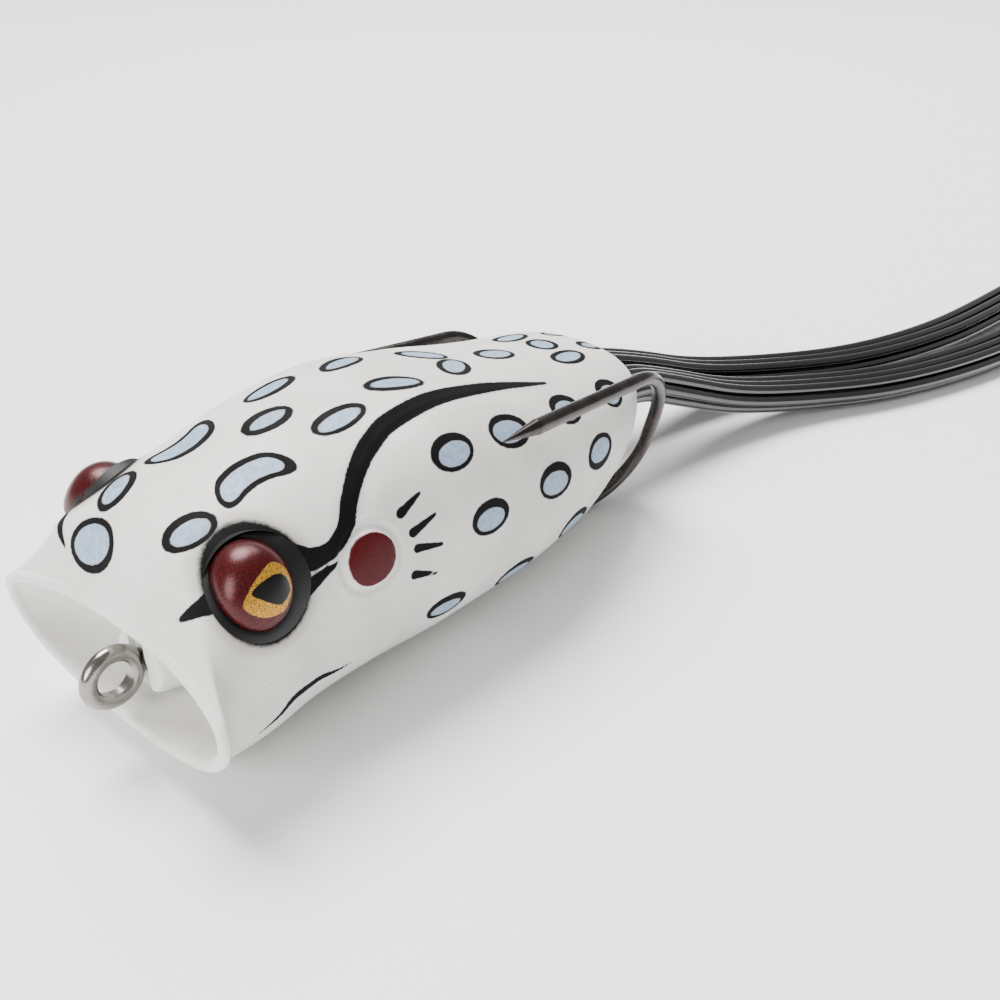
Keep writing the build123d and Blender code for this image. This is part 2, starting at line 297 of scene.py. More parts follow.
def curve_through(points, samples, closed=False):
    """Points of a smooth curve through the given ones, any number of columns."""
    points = np.array(points, float)
    if closed:
        points = np.vstack((points[-2:], points, points[:3]))
    lengths = np.linalg.norm(np.diff(points[:, :3], axis=0), axis=1)
    knots = np.concatenate(([0.0], np.cumsum(np.maximum(lengths, 1e-6))))
    start, end = (knots[2], knots[-3]) if closed else (knots[0], knots[-1])
    at = np.linspace(start, end, samples, endpoint=not closed)
    return np.stack([smooth_through(knots, column, at) for column in points.T], axis=1)


def mesh_object(name, points, faces):
    """Object from millimetre points, with outward normals and smooth faces."""
    mesh = bpy.data.meshes.new(name)
    mesh.from_pydata((np.asarray(points) * MM).tolist(), [], faces)
    mesh.update()
    tidy = bmesh.new()
    tidy.from_mesh(mesh)
    bmesh.ops.remove_doubles(tidy, verts=tidy.verts, dist=1e-7)
    bmesh.ops.recalc_face_normals(tidy, faces=tidy.faces)
    tidy.to_mesh(mesh)
    tidy.free()
    mesh.shade_smooth()
    thing = bpy.data.objects.new(name, mesh)
    bpy.context.scene.collection.objects.link(thing)
    return thing


def grid_faces(rows, columns):
    """Quads of a tube of rows, closed around, with a fan at each end."""
    faces = []
    for row in range(rows - 1):
        for column in range(columns):
            right = (column + 1) % columns
            low, high = row * columns, (row + 1) * columns
            faces.append((low + column, low + right, high + right, high + column))
    faces.append(tuple(range(columns)))
    faces.append(tuple((rows - 1) * columns + column for column in range(columns)))
    return faces


def vertex_array(mesh):
    """Vertices in millimetres."""
    flat = np.empty(len(mesh.vertices) * 3)
    mesh.vertices.foreach_get("co", flat)
    return flat.reshape(-1, 3) / MM


def set_attribute(mesh, name, values):
    layer = mesh.attributes.new(name, "FLOAT", "POINT")
    layer.data.foreach_set("value", np.asarray(values, dtype=np.float32))


def sharpen(mesh, degrees):
    """Marks edges sharper than this so that they shade as edges."""
    work = bmesh.new()
    work.from_mesh(mesh)
    limit = math.radians(degrees)
    for edge in work.edges:
        if len(edge.link_faces) == 2 and edge.calc_face_angle(0.0) > limit:
            edge.smooth = False
    work.to_mesh(mesh)
    work.free()


# ---- body ----
def section(row, angle, inset=0.0):
    """Across and height of the body's section; row holds arrays or numbers."""
    _, half_width, mid, top, bottom = row
    across, up = np.cos(angle), np.sin(angle)
    y = (half_width - inset) * np.sign(across) * np.abs(across) ** (2 / SIDE_POWER)
    high = mid + (top - inset - mid) * np.abs(up) ** (2 / TOP_POWER)
    low = mid - (mid - bottom - inset) * np.abs(up) ** (2 / BELLY_POWER)
    return y, np.where(up > 0, high, low)


def skin_row(share):
    """Section values at shares of the way along the skin, from the rim to the tail."""
    rows = np.array(SKIN_ROWS)
    steps = np.diff(rows, axis=0)
    lengths = np.sqrt(steps[:, 0] ** 2 + (0.5 * steps[:, 1]) ** 2 + (0.6 * steps[:, 3]) ** 2)
    knots = np.concatenate(([0.0], np.cumsum(lengths)))
    at = share * knots[-1]
    return [smooth_through(knots, column, at) for column in rows.T]


def lip_shift(behind, angle):
    """How far back the lips' middles lie."""
    up = np.sin(angle)
    back = UPPER_LIP_BACK * np.clip(up, 0, 1) ** 2 + LOWER_LIP_BACK * np.clip(-up, 0, 1) ** 2
    return back * np.clip(1 - behind / LIP_FADE, 0, 1) ** 2


def cup_surface(angle):
    """Rows from the rounded lip down the popping cup and up onto the boss."""
    rim = [np.float64(value) for value in SKIN_ROWS[0]]
    rows = []
    for turn in np.linspace(0.0, math.pi, 12)[1:]:
        inset = RIM_WALL / 2 * (1 - math.cos(turn))
        y, z = section(rim, angle, inset)
        x = LIP_X - RIM_ROUND * math.sin(turn) + lip_shift(0.0, angle)
        rows.append(np.stack((x, y, z), axis=1))
    rim_y, rim_z = section(rim, angle, RIM_WALL)
    out = np.hypot(rim_y, rim_z - PIVOT[2])
    flat = np.abs(np.cos(angle)) ** 1.5
    steep = CUP_STEEP[0] + (CUP_STEEP[1] - CUP_STEEP[0]) * flat
    curl = CUP_CURL[0] + (CUP_CURL[1] - CUP_CURL[0]) * flat
    steps = np.concatenate((np.linspace(1.0, 0.3, 46)[1:], np.linspace(0.3, 0.0, 40)[1:-1]))
    for share in steps:
        y = rim_y * share
        z = PIVOT[2] + (rim_z - PIVOT[2]) * share
        distance = out * share
        wall = CUP_DEPTH * (1 - share ** steep) ** curl
        side = (distance - BOSS_RADIUS) * BOSS_SLOPE
        boss = BOSS_FACE + soft_larger(0.0, side, 3.0)
        depth = -soft_larger(-wall, -boss, 1.6)
        slot = smooth_step(BOSS_SLOT_HALF + 0.15, BOSS_SLOT_HALF, np.abs(y))
        slot = slot * smooth_step(BOSS_RADIUS + 0.1, BOSS_RADIUS - 0.3, distance)
        depth = depth + BOSS_SLOT_DEPTH * slot
        x = LIP_X + depth + lip_shift(0.0, angle) * smooth_step(0.5, 1.0, share)
        rows.append(np.stack((x, y, z), axis=1))
    return rows


def solid_skin():
    """The body with its cup, closed and solid inside, and the points of its outside."""
    angle = np.linspace(0.0, 2 * math.pi, AROUND, endpoint=False)
    rows = []
    for share in np.linspace(1.0, 0.0, ALONG):
        row = skin_row(np.array([share]))
        y, z = section(row, angle)
        x = LIP_X + row[0] + lip_shift(row[0], angle)
        rows.append(np.stack((np.broadcast_to(x, y.shape), y, z), axis=1))
    outside = sculpt_body(np.vstack(rows))
    cup = np.vstack(cup_surface(angle))
    faces = grid_faces(ALONG + len(cup) // AROUND, AROUND)
    return mesh_object("frog_skin", np.vstack((outside, cup)), faces), outside


def cavity():
    """Hollow inside the body, between the cup and the leg sockets."""
    angle = np.linspace(0.0, 2 * math.pi, CAVITY_AROUND, endpoint=False)
    rows = []
    for share in np.linspace(CAVITY_SPAN[1], CAVITY_SPAN[0], CAVITY_ROWS):
        row = skin_row(np.array([share]))
        y, z = section(row, angle, WALL)
        rows.append(np.stack((np.broadcast_to(LIP_X + row[0], y.shape), y, z), axis=1))
    return mesh_object("cutter_cavity", np.vstack(rows), grid_faces(len(rows), CAVITY_AROUND))


def revolved(name, profile, origin, axis, columns=48):
    """Closed solid from (distance along the axis, radius) rows."""
    turn = Vector((0, 0, 1)).rotation_difference(Vector(axis)).to_matrix()
    points = []
    for along, radius in profile:
        for column in range(columns):
            angle = 2 * math.pi * column / columns
            local = Vector((radius * math.cos(angle), radius * math.sin(angle), along))
            points.append(tuple(Vector(origin) + turn @ local))
    return mesh_object(name, np.array(points), grid_faces(len(profile), columns))


def upright_prism(name, outline, low, high):
    """Prism between two heights, from an outline of (x, y) points."""
    points = [(x, y, low) for x, y in outline] + [(x, y, high) for x, y in outline]
    return mesh_object(name, np.array(points), grid_faces(2, len(outline)))


def rounded_outline(low, high, radius):
    """Rounded rectangle between two (x, y) corners."""
    points = []
    for corner, start in (((1, 1), 0), ((0, 1), 90), ((0, 0), 180), ((1, 0), 270)):
        centre_x = high[0] - radius if corner[0] else low[0] + radius
        centre_y = high[1] - radius if corner[1] else low[1] + radius
        for step in range(9):
            angle = math.radians(start + 90 * step / 8)
            points.append((centre_x + radius * math.cos(angle), centre_y + radius * math.sin(angle)))
    return points


def channel_outline(start, end, radius):
    """Outline of a round-ended channel from one (x, y) point to another."""
    heading = math.atan2(end[1] - start[1], end[0] - start[0])
    points = []
    for centre, offset in ((end, -90), (start, 90)):
        for step in range(13):
            angle = heading + math.radians(offset + 180 * step / 12)
            points.append((centre[0] + radius * math.cos(angle), centre[1] + radius * math.sin(angle)))
    return points


def cut(target, cutter):
    """Takes the cutter away from the target and removes it."""
    change = target.modifiers.new("cut", "BOOLEAN")
    change.operation = "DIFFERENCE"
    change.solver = "MANIFOLD"
    change.object = cutter
    with bpy.context.temp_override(object=target, active_object=target):
        bpy.ops.object.modifier_apply(modifier=change.name)
    bpy.data.objects.remove(cutter)


def eye_axes(way):
    """Outward, forward and upward directions of an eye; way is 1 on the right, -1 on the left."""
    outward = Vector((
        -math.sin(EYE_TURN) * math.cos(EYE_TILT),
        way * math.cos(EYE_TURN) * math.cos(EYE_TILT),
        math.sin(EYE_TILT),
    ))
    ahead = Vector((-1, 0, 0))
    forward = (ahead - ahead.dot(outward) * outward).normalized()
    upward = forward.cross(outward).normalized()
    if upward.z < 0:
        upward = -upward
    return outward, forward, upward


def stroke_distance(points, stroke, samples=80):
    """Distance outside a tapering stroke's edge, and the side of its middle, above it if positive.

    Most of the distance straight off the skin is left out, since the strokes lie only near it.
    """
    line = curve_through(stroke, samples)
    best = np.full(len(points), 1e9)
    side = np.zeros(len(points))
    for x, y, z, half in line:
        middle = np.array((LIP_X + x, y, z))
        outward = skin_normal(middle)
        gap = points - middle
        gap = gap - OFF_SKIN_SHARE * (gap @ outward)[:, None] * outward
        distance = np.linalg.norm(gap, axis=1)
        closer = distance - half < best
        best = np.where(closer, distance - half, best)
        side = np.where(closer, 0.75 * gap[:, 2] - 0.65 * gap[:, 1], side)
    return best, side


def sculpt_body(points):
    """Moves skin points: a ridge along the back stroke, and a raised ear in a shallow ring."""
    folded = points * (1, 0, 1) + np.abs(points) * (0, 1, 0)
    behind = points[:, 0] - LIP_X
    away = (points - (0, 0, MIDDLE_Z)) * (0, 1, 1)
    away /= np.linalg.norm(away, axis=1, keepdims=True) + 1e-9
    distance, side = stroke_distance(folded, BACK_STROKE)
    reach = np.exp(-((distance + 0.6) / 1.5) ** 2)
    fade = smooth_step(10.0, 14.0, behind) * smooth_step(52.0, 38.0, behind)
    step = np.where(side > 0, RIDGE_HEIGHT, -RIDGE_DEPTH) * smooth_step(0.0, 0.9, np.abs(side))
    move = fade * reach * step
    ear_gap = np.linalg.norm(folded - np.array(EAR_CENTRE), axis=1)
    move += EAR_RISE * smooth_step(EAR_RADIUS + 0.2, EAR_RADIUS - 0.15, ear_gap)
    for way, (size, distance, width) in ((-1, EAR_GROOVE), (1, EAR_RIDGE)):
        move += way * size * np.exp(-((ear_gap - EAR_RADIUS - distance) / width) ** 2)
    return points + away * move[:, None]


def on_skin(points):
    """1 on the body's outside, less inside it and more beyond it."""
    rows = skin_row(np.linspace(0.0, 1.0, 500))
    behind = points[:, 0] - LIP_X
    place = behind
    for _ in range(3):
        _, half_width, mid, top, bottom = (np.interp(place, rows[0], column) for column in rows)
        above = points[:, 2] > mid
        rise = np.where(above, top - mid, mid - bottom)
        power = np.where(above, TOP_POWER, BELLY_POWER)
        up = (np.abs(points[:, 2] - mid) / np.maximum(rise, 0.1)) ** power
        back = np.where(above, UPPER_LIP_BACK, LOWER_LIP_BACK) * np.clip(up, 0, 1)
        place = behind - back * np.clip(1 - place / LIP_FADE, 0, 1) ** 2
    return (np.abs(points[:, 1]) / half_width) ** SIDE_POWER + up


def oval_distance(u, v, half_long, half_wide):
    """Roughly how far points lie outside an oval."""
    return (np.hypot(u / half_long, v / half_wide) - 1) * min(half_long, half_wide)


def capsule_distance(u, v, half_long, half_wide):
    """How far points lie outside a bar with round ends."""
    straight = half_long - half_wide
    return np.hypot(u - np.clip(u, -straight, straight), v) - half_wide


def spot_distances(points):
    """Distances outside the spots' black outlines and outside their blue fills."""
    folded = points * (1, 0, 1) + np.abs(points) * (0, 1, 0)
    outline = np.full(len(points), UNPAINTED)
    fill = np.full(len(points), UNPAINTED)
    for place, spot in [(folded, spot) for spot in SPOTS] + [(points, LIP_SPOT)]:
        centre, half_long, half_wide, turn, offset = spot
        middle = np.array((LIP_X + centre[0], centre[1], centre[2]))
        gap = place - middle
        near = np.linalg.norm(gap, axis=1) < SPOT_REACH
        outward = skin_normal(middle)
        along = np.array((1.0, 0.0, 0.0)) - outward[0] * outward
        along /= np.linalg.norm(along)
        across = np.cross(outward, along)
        angle = math.radians(turn)
        long_way = along * math.cos(angle) + across * math.sin(angle)
        wide_way = across * math.cos(angle) - along * math.sin(angle)
        u, v = gap @ long_way, gap @ wide_way
        shape = oval_distance
        if half_long > KIDNEY_LENGTH:
            v = v + KIDNEY_BEND * (u * u - KIDNEY_LEVEL)
            shape = capsule_distance
        half_long, half_wide = half_long + INK_SPREAD, half_wide + INK_SPREAD
        ring = shape(u, v, half_long, half_wide)
        u, v = u - FILL_OFFSET * offset[0], v - FILL_OFFSET * offset[1]
        blue = shape(u, v, half_long - FILL_INSET, half_wide - FILL_INSET)
        outline = np.where(near, np.minimum(outline, ring), outline)
        fill = np.where(near, np.minimum(fill, blue), fill)
    return outline, fill


def skin_normal(point):
    """Outward direction of the skin at a point near it."""
    step = 0.05
    point = np.array(point)
    moves = [step * way * np.eye(3)[axis] for axis in range(3) for way in (1, -1)]
    level = on_skin(point + np.array(moves))
    slope = level[::2] - level[1::2]
    return slope / np.linalg.norm(slope)


def off_surface(points, surface, reach=0.25):
    """True for the points that lie farther than reach from the surface's vertices."""
    tree = KDTree(len(surface))
    for index, point in enumerate(surface):
        tree.insert(point, index)
    tree.balance()
    return np.array([tree.find(point)[2] > reach for point in points])


def paint_body(mesh, outside):
    """Stores how far each vertex lies outside each painted mark."""
    points = vertex_array(mesh)
    folded = points * (1, 0, 1) + np.abs(points) * (0, 1, 0)
    bare = np.where(off_surface(points, outside), UNPAINTED, 0.0)
    outline, fill = spot_distances(points)
    strokes = stroke_distance(folded, BACK_STROKE)[0] - BACK_STROKE_SPREAD
    for stroke in STROKES:
        strokes = np.minimum(strokes, stroke_distance(folded, stroke, 30)[0])
    outward, forward, upward = eye_axes(1)
    gap = folded - np.array(EYE_CENTRE)
    ahead = gap @ np.array(forward) - EYE_PAINT_SHIFT[0]
    above = gap @ np.array(upward) - EYE_PAINT_SHIFT[1]
    around = np.sqrt((ahead / EYE_PAINT[0]) ** 2 + (above / EYE_PAINT[1]) ** 2)
    far_side = gap @ np.array(outward) < -EYE_REACH
    eye_ring = (around - 1) * EYE_PAINT_SCALE + np.where(far_side, UNPAINTED, 0.0)
    ear = np.linalg.norm(folded - np.array(EAR_CENTRE), axis=1) - EAR_RADIUS
    set_attribute(mesh, "ink", np.minimum(outline, strokes) + bare)
    set_attribute(mesh, "airbrush", eye_ring + bare)
    set_attribute(mesh, "blue", fill + bare)
    set_attribute(mesh, "ear", ear + bare)


def keel_room():
    """Room round the keel weight, open below."""
    low = (KEEL_LOW[0] - KEEL_ROOM_FRONT, KEEL_LOW[1] - KEEL_ROOM_SIDE)
    high = (KEEL_HIGH[0] + KEEL_ROOM_BACK, KEEL_HIGH[1] + KEEL_ROOM_SIDE)
    outline = rounded_outline(low, high, KEEL_ROOM_CORNER)
    return upright_prism("cutter_keel", outline, BELOW_FLOOR, KEEL_ROOM_TOP)


def shank_room(way):
    """Channel along one hook's shank, open below."""
    start = (KEEL_LOW[0] + SHANK_START[0], way * SHANK_START[1])
    end = (LIP_X + SHANK_END[0], way * SHANK_END[1])
    outline = channel_outline(start, end, SHANK_ROOM_RADIUS)
    return upright_prism("cutter_shank", outline, BELOW_FLOOR, SHANK_ROOM_TOP)


def leg_room(way):
    """Socket for one leg's collar."""
    seat = (LIP_X + SOCKET_START, way * LEG_SIDE, LEG_Z)
    profile = ((0.0, SOCKET_RADIUS), (SOCKET_REACH, SOCKET_RADIUS))
    return revolved("cutter_leg", profile, seat, (1, 0, 0))


def eye_room(way):
    """Seat for one eye's plug."""
    centre = Vector((EYE_CENTRE.x, way * EYE_CENTRE.y, EYE_CENTRE.z))
    profile = ((-EYE_PLUG, EYE_SEAT), (EYE_REACH, EYE_SEAT))
    return revolved("cutter_eye", profile, centre, eye_axes(way)[0], 96)


def nose_room():
    """Hole for the stem, narrowest at the pivot."""
    throat = STEM_RADIUS + STEM_GAP
    wide = throat + NOSE_HOLE_FLARE
    profile = ((NOSE_HOLE_REACH[0], wide), (0.0, throat), (NOSE_HOLE_REACH[1], wide))
    return revolved("cutter_nose", profile, PIVOT, (1, 0, 0))


def body():
    """Hollow shell with its belly slot, sockets and paint."""
    skin, outside = solid_skin()
    cut(skin, cavity())
    cut(skin, keel_room())
    for way in (-1, 1):
        cut(skin, shank_room(way))
        cut(skin, leg_room(way))
        cut(skin, eye_room(way))
    cut(skin, nose_room())
    sharpen(skin.data, 40)
    paint_body(skin.data, outside)
    skin.data.materials.clear()
    skin.data.materials.append(body_material())
    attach(skin, "body")
    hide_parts("body_shell")


# ---- eyes ----
def outline_distance(u, v, outline):
    """Signed distance outside a closed smooth outline."""
    line = curve_through([(a, b, 0.0) for a, b in outline], 90, closed=True)[:, :2]
    gap = np.full(u.shape, 1e9)
    inside = np.zeros(u.shape, bool)
    for (x0, y0), (x1, y1) in zip(line, np.roll(line, -1, axis=0)):
        gap = np.minimum(gap, np.hypot(u - x0, v - y0))
        crosses = (y0 > v) != (y1 > v)
        slope = np.where(y1 != y0, (x1 - x0) / (y1 - y0 + 1e-12), 0.0)
        inside ^= crosses & (u < x0 + slope * (v - y0))
    return np.where(inside, -gap, gap)


def skin_height(points, outward):
    """How far each point has to move along the outward direction to reach the skin."""
    low = np.full(len(points), -3.0)
    high = np.full(len(points), 3.0)
    for _ in range(24):
        middle = (low + high) / 2
        outside = on_skin(points + middle[:, None] * outward) > 1.0
        high = np.where(outside, middle, high)
        low = np.where(outside, low, middle)
    return low


def eye(way, node):
    """Insert with a plug, a painted rim that meets the skin, and an oval dome."""
    outward, forward, upward = (np.array(axis) for axis in eye_axes(way))
    centre = np.array((EYE_CENTRE.x, way * EYE_CENTRE.y, EYE_CENTRE.z))
    columns = 160
    angle = np.linspace(0.0, 2 * math.pi, columns, endpoint=False)
    edge_u = EYE_SHIFT[0] + EYE_DOME[0] * np.cos(angle)
    edge_v = EYE_SHIFT[1] + EYE_DOME[1] * np.sin(angle)
    seat_u, seat_v = EYE_SEAT * np.cos(angle), EYE_SEAT * np.sin(angle)

    def place(u, v, height):
        return centre + u[:, None] * forward + v[:, None] * upward + height[:, None] * outward

    base = skin_height(place(edge_u, edge_v, 0 * angle), outward)
    rows = []
    for share in np.concatenate((np.linspace(0.03, 0.86, 40), np.linspace(0.875, 1.0, 14))):
        bulge = math.sqrt(max(1 - share ** EYE_BULGE, 0.0))
        height = base + (EYE_RISE - base) * bulge
        u = EYE_SHIFT[0] + (edge_u - EYE_SHIFT[0]) * share
        v = EYE_SHIFT[1] + (edge_v - EYE_SHIFT[1]) * share
        rows.append(place(u, v, height))
    # From the dome's foot to the seat's edge, with a crease at the foot.
    for share, sink in ((0.06, 0.1), (0.2, 0.02), (0.5, 0.0), (0.8, 0.0), (0.98, 0.01)):
        u = edge_u * (1 - share) + seat_u * share
        v = edge_v * (1 - share) + seat_v * share
        rows.append(place(u, v, skin_height(place(u, v, 0 * angle), outward) - sink))
    side = 1 - EYE_FIT / EYE_SEAT
    for height in (-1.0, -EYE_PLUG):
        rows.append(place(seat_u * side, seat_v * side, 0 * angle + height))
    thing = mesh_object(node + "_insert", np.vstack(rows), grid_faces(len(rows), columns))
    gap = vertex_array(thing.data) - centre
    u, v = gap @ forward, gap @ upward
    oval = np.hypot((u - EYE_SHIFT[0]) / EYE_DOME[0], (v - EYE_SHIFT[1]) / EYE_DOME[1])
    off_dome = np.where(oval > 0.99, UNPAINTED, 0.0)
    set_attribute(thing.data, "gold", outline_distance(u, v, GOLD_OUTLINE) + off_dome)
    set_attribute(thing.data, "pupil", outline_distance(u, v, PUPIL_OUTLINE) + off_dome)
    set_attribute(thing.data, "rim", (oval - 1) * 3.0)
    sharpen(thing.data, 50)
    thing.data.materials.append(eye_material())
    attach(thing, "body")
    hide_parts(node)


# ---- skirt ----
def strand_points(side, row, place, count, tip_share):
    """The route shifted to one strand's seat, as the CAD does it, in metres."""
    middle = [Vector((LIP_X + point[0], point[1], point[2])) for point, _, _ in SKIRT_ROUTE]
    up = (1 - row) * STRAND_PITCH * math.sqrt(3) / 2
    across = side * LEG_SIDE + (place - (count - 1) / 2) * STRAND_PITCH
    points = []
    for index, (_, spread, settle) in enumerate(SKIRT_ROUTE):
        before = middle[max(index - 1, 0)]
        after = middle[min(index + 1, len(middle) - 1)]
        along = Vector((1, 0, 0)) if index < 2 else (after - before).normalized()
        sideways = Vector((0, 0, 1)).cross(along).normalized()
        upwards = along.cross(sideways)
        points.append(middle[index] + sideways * (across * spread) + upwards * (up * settle))
    points[-1] = points[-2] + (points[-1] - points[-2]) * tip_share
    return [point * MM for point in points]


def curve_length(curve_object):
    """Length of a curve's own line."""
    mesh = bpy.data.meshes.new_from_object(curve_object)
    places = [vertex.co for vertex in mesh.vertices]
    ends = [edge.vertices for edge in mesh.edges]
    total = sum((places[first] - places[last]).length for first, last in ends)
    bpy.data.meshes.remove(mesh)
    return total


def strand(side, number, points, rubber):
    """One rubber strand: a NURBS cord along the CAD's own points."""
    name = f"strand_{'right' if side > 0 else 'left'}_{number:02d}"
    curve = bpy.data.curves.new(name + "_rubber", "CURVE")
    curve.dimensions = "3D"
    curve.resolution_u = 10
    spline = curve.splines.new("NURBS")
    spline.points.add(len(points) - 1)
    for knot, point in zip(spline.points, points):
        knot.co = (*point, 1.0)
    spline.order_u = 3
    spline.use_endpoint_u = True
    thing = bpy.data.objects.new(name + "_rubber", curve)
    bpy.context.scene.collection.objects.link(thing)
    length = curve_length(thing)
    curve.bevel_depth = STRAND_DIAMETER / 2 * MM
    curve.bevel_resolution = 5
    curve.use_fill_caps = True
    curve.materials.append(rubber)
    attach(thing, "leg_right" if side > 0 else "leg_left")
    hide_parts(name)


def skirt():
    """Ten strands for each leg, staggered at their tips."""
    rubber = strand_material()
    for side in (-1, 1):
        number = 0
        for row, count in enumerate(STRAND_ROWS):
            for place in range(count):
                points = strand_points(side, row, place, count, TIP_SHARES[number])
                number += 1
                strand(side, number, points, rubber)


# ---- materials ----
class Shader:
    """A material's node tree, with short calls for what is used here."""

    def __init__(self, name, **inputs):
        self.material = bpy.data.materials.new(name)
        self.material.use_nodes = True
        self.tree = self.material.node_tree
        self.surface = self.tree.nodes["Principled BSDF"]
        for socket, value in inputs.items():
            self.surface.inputs[socket.replace("_", " ")].default_value = value

    def node(self, kind, **settings):
        made = self.tree.nodes.new(kind)
        for key, value in settings.items():
            setattr(made, key, value)
        return made

    def put(self, source, target):
        """Joins an output, or sets a number or colour, on an input."""
        if isinstance(source, bpy.types.NodeSocket):
            self.tree.links.new(source, target)
        else:
            target.default_value = source

    def place(self):
        return self.node("ShaderNodeTexCoord").outputs["Object"]

    def noise(self, size, detail=2.0, roughness=0.5):
        """Noise whose features are about size millimetres across."""
        made = self.node("ShaderNodeTexNoise")
        made.inputs["Scale"].default_value = 1 / (size * MM)
        made.inputs["Detail"].default_value = detail
        made.inputs["Roughness"].default_value = roughness
        self.put(self.place(), made.inputs["Vector"])
        return made.outputs["Fac"]

    def attribute(self, name):
        return self.node("ShaderNodeAttribute", attribute_name=name).outputs["Fac"]

    def sum(self, first, second, operation="ADD"):
        made = self.node("ShaderNodeMath", operation=operation)
        self.put(first, made.inputs[0])
        self.put(second, made.inputs[1])
        return made.outputs[0]

    def ramp(self, value, low, high, start=0.0, end=1.0):
        """Value from low to high turned into start to end."""
        made = self.node("ShaderNodeMapRange", interpolation_type="SMOOTHSTEP")
        self.put(value, made.inputs["Value"])
        made.inputs["From Min"].default_value = low
        made.inputs["From Max"].default_value = high
        made.inputs["To Min"].default_value = start
        made.inputs["To Max"].default_value = end
        return made.outputs["Result"]

    def mix(self, factor, first, second):
        made = self.node("ShaderNodeMixRGB")
        self.put(factor, made.inputs["Fac"])
        self.put(first, made.inputs["Color1"])
        self.put(second, made.inputs["Color2"])
        return made.outputs["Color"]

    def inside(self, name, wobble=0.0, soft=0.06, grain=0.5):
        """1 inside a painted mark, with a slightly ragged edge."""
        edge = self.attribute(name)
        if wobble:
            shake = self.sum(self.sum(self.noise(grain), 0.5, "SUBTRACT"), wobble, "MULTIPLY")
            edge = self.sum(edge, shake)
        return self.ramp(edge, soft, -soft)

    def bump(self, height, strength, distance):
        made = self.node("ShaderNodeBump")
        made.inputs["Strength"].default_value = strength
        made.inputs["Distance"].default_value = distance * MM
        self.put(height, made.inputs["Height"])
        self.put(made.outputs["Normal"], self.surface.inputs["Normal"])


def colour(red, green, blue):
    """Linear colour from the usual 0 to 255 values."""
    return tuple((value / 255) ** 2.2 for value in (red, green, blue)) + (1.0,)


def body_material():
    """Satin white with blue spots outlined in black, black strokes and a dark red ear."""
    shader = Shader("soft_body_paint", Specular_IOR_Level=0.18)
    cloud = shader.ramp(shader.noise(6.0, 3.0), 0.35, 0.7)
    white = shader.mix(cloud, colour(226, 225, 221), colour(214, 212, 206))
    specks = shader.ramp(shader.noise(0.35, 1.0), 0.77, 0.8)
    white = shader.mix(specks, white, colour(168, 160, 150))
    mottle = shader.ramp(shader.noise(0.5, 3.0), 0.3, 0.7)
    sky = shader.mix(mottle, colour(136, 158, 182), colour(158, 178, 200))
    tone = shader.mix(shader.inside("blue", 0.12), white, sky)
    ink = shader.inside("ink", 0.12, 0.06, 0.4)
    outside_blue = shader.sum(1.0, shader.inside("blue", 0.12), "SUBTRACT")
    ink = shader.sum(ink, outside_blue, "MULTIPLY")
    spray = shader.inside("airbrush", 0.2, 0.22, 0.3)
    ink = shader.sum(ink, spray, "MAXIMUM")
    haze = shader.ramp(shader.attribute("airbrush"), 1.1, 0.0, 0.0, 0.4)
    tone = shader.mix(haze, tone, colour(120, 100, 84))
    black = shader.mix(shader.noise(0.8), colour(5, 4, 5), colour(11, 10, 10))
    tone = shader.mix(ink, tone, black)
    red = shader.mix(shader.noise(0.4), colour(58, 9, 14), colour(86, 18, 24))
    tone = shader.mix(shader.inside("ear", 0.1), tone, red)
    shader.put(tone, shader.surface.inputs["Base Color"])
    worn = shader.ramp(shader.noise(3.0, 4.0), 0.3, 0.8, 0.36, 0.5)
    shader.put(shader.sum(worn, shader.sum(ink, 0.4, "MULTIPLY")), shader.surface.inputs["Roughness"])
    grain = shader.sum(shader.noise(0.25, 3.0), shader.sum(ink, 0.6, "MULTIPLY"))
    shader.bump(grain, 0.15, 0.03)
    return shader.material


def eye_material():
    """Dark red lacquer with a gold crescent and a black pupil, black on the insert's rim."""
    shader = Shader("eye_lacquer", Specular_IOR_Level=0.4)
    flakes = shader.noise(0.09, 1.0)
    red = shader.mix(shader.ramp(flakes, 0.35, 0.7), colour(40, 6, 9), colour(92, 24, 26))
    gold = shader.mix(shader.ramp(flakes, 0.3, 0.7), colour(124, 80, 14), colour(206, 156, 54))
    tone = shader.mix(shader.inside("gold", 0.06, 0.04, 0.2), red, gold)
    tone = shader.mix(shader.inside("pupil", 0.03, 0.04, 0.2), tone, colour(8, 8, 9))
    rim = shader.ramp(shader.sum(shader.attribute("rim"), shader.noise(0.4)), 0.42, 0.62)
    tone = shader.mix(rim, tone, colour(10, 9, 10))
    shader.put(tone, shader.surface.inputs["Base Color"])
    shader.put(shader.ramp(rim, 0.0, 1.0, 0.3, 0.5), shader.surface.inputs["Roughness"])
    metal = shader.sum(1.0, rim, "SUBTRACT")
    shader.put(shader.sum(metal, 0.35, "MULTIPLY"), shader.surface.inputs["Metallic"])
    shader.bump(flakes, 0.15, 0.02)
    return shader.material


def metal_material(name, colours, roughness, grain, size):
    """Worn metal that runs between two colours and two roughnesses, in clouds of this size."""
    shader = Shader(name, Metallic=1.0)
    cloud = shader.noise(size, 4.0)
    shader.put(shader.mix(cloud, *colours), shader.surface.inputs["Base Color"])
    shader.put(shader.ramp(cloud, 0.3, 0.7, *roughness), shader.surface.inputs["Roughness"])
    shader.bump(shader.noise(size / 3, 3.0), grain, 0.03)
    return shader.material


